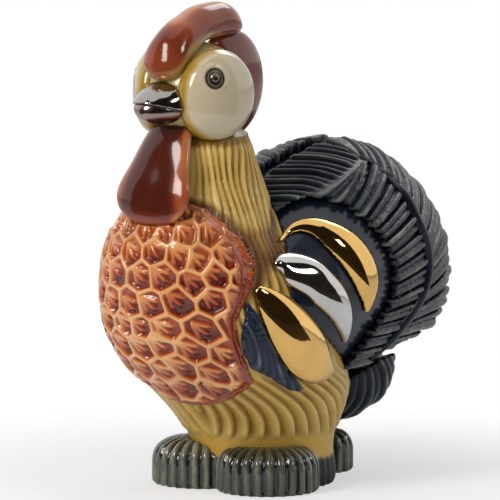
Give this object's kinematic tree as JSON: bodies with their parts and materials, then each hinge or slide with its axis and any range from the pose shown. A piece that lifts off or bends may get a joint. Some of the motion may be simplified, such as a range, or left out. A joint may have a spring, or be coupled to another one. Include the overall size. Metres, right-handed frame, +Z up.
{
  "type": "ceramic rooster figurine",
  "caption": "Free-standing glazed ceramic rooster ornament with a rounded hollow body, scaled breast, lobed comb, metallic lobed wing feathers and an upright fan tail on three ribbed feet.",
  "frame": {"origin": "centre of the resting face under the body, on the surface it stands on", "axes": "+Z up; the rooster looks along -Y, so +Y runs to the tail; +X is its left side; x = 0 is its mirror plane"},
  "size_m": [0.0534, 0.0955, 0.1002],
  "materials": {
    "ochre_glaze": "satin ochre glaze over carved clay, darker where it pools",
    "head_glaze": "satin ochre glaze",
    "cream_glaze": "pale pearl glaze with a soft gloss",
    "red_glaze": "glossy chestnut red glaze, lighter on edges",
    "scale_glaze": "red orange glaze pooled in carved scales with pale rims",
    "eye_rim_glaze": "dark gloss ring",
    "eye_glaze": "brown gold iris with a glossy black pupil",
    "platinum_lustre": "mirror platinum lustre over glaze",
    "beak_lower_glaze": "thin platinum lustre, warmer and duller",
    "gold_lustre": "mirror gold lustre over glaze",
    "dark_glaze": "blue black satin gloss glaze",
    "tail_glaze": "blue black to green grey glaze, lighter on carved ridges",
    "foot_glaze": "glossy dark green grey glaze, lighter on ridges"
  },
  "bodies": {
    "root": {"body_shell": "ochre_glaze", "tail_shell": "dark_glaze", "head": "head_glaze", "left_cheek": "cream_glaze", "right_cheek": "cream_glaze", "left_eye_rim": "eye_rim_glaze", "right_eye_rim": "eye_rim_glaze", "left_eye_ball": "eye_glaze", "right_eye_ball": "eye_glaze", "upper_beak": "platinum_lustre", "lower_beak": "beak_lower_glaze", "front_comb": "red_glaze", "rear_comb": "red_glaze", "wattle": "red_glaze", "breast_panel": "scale_glaze", "left_upper_gold_feather": "gold_lustre", "right_upper_gold_feather": "gold_lustre", "left_platinum_feather": "platinum_lustre", "right_platinum_feather": "platinum_lustre", "left_lower_gold_feather": "gold_lustre", "right_lower_gold_feather": "gold_lustre", "left_wing_plume": "tail_glaze", "right_wing_plume": "tail_glaze", "left_tail_rib": "tail_glaze", "right_tail_rib": "tail_glaze", "left_inner_vane": "tail_glaze", "right_inner_vane": "tail_glaze", "left_outer_vane": "tail_glaze", "right_outer_vane": "tail_glaze", "edge_feather": "gold_lustre", "left_lower_plume": "tail_glaze", "right_lower_plume": "tail_glaze", "left_foot": "foot_glaze", "right_foot": "foot_glaze", "heel": "foot_glaze"}
  },
  "joints": []
}
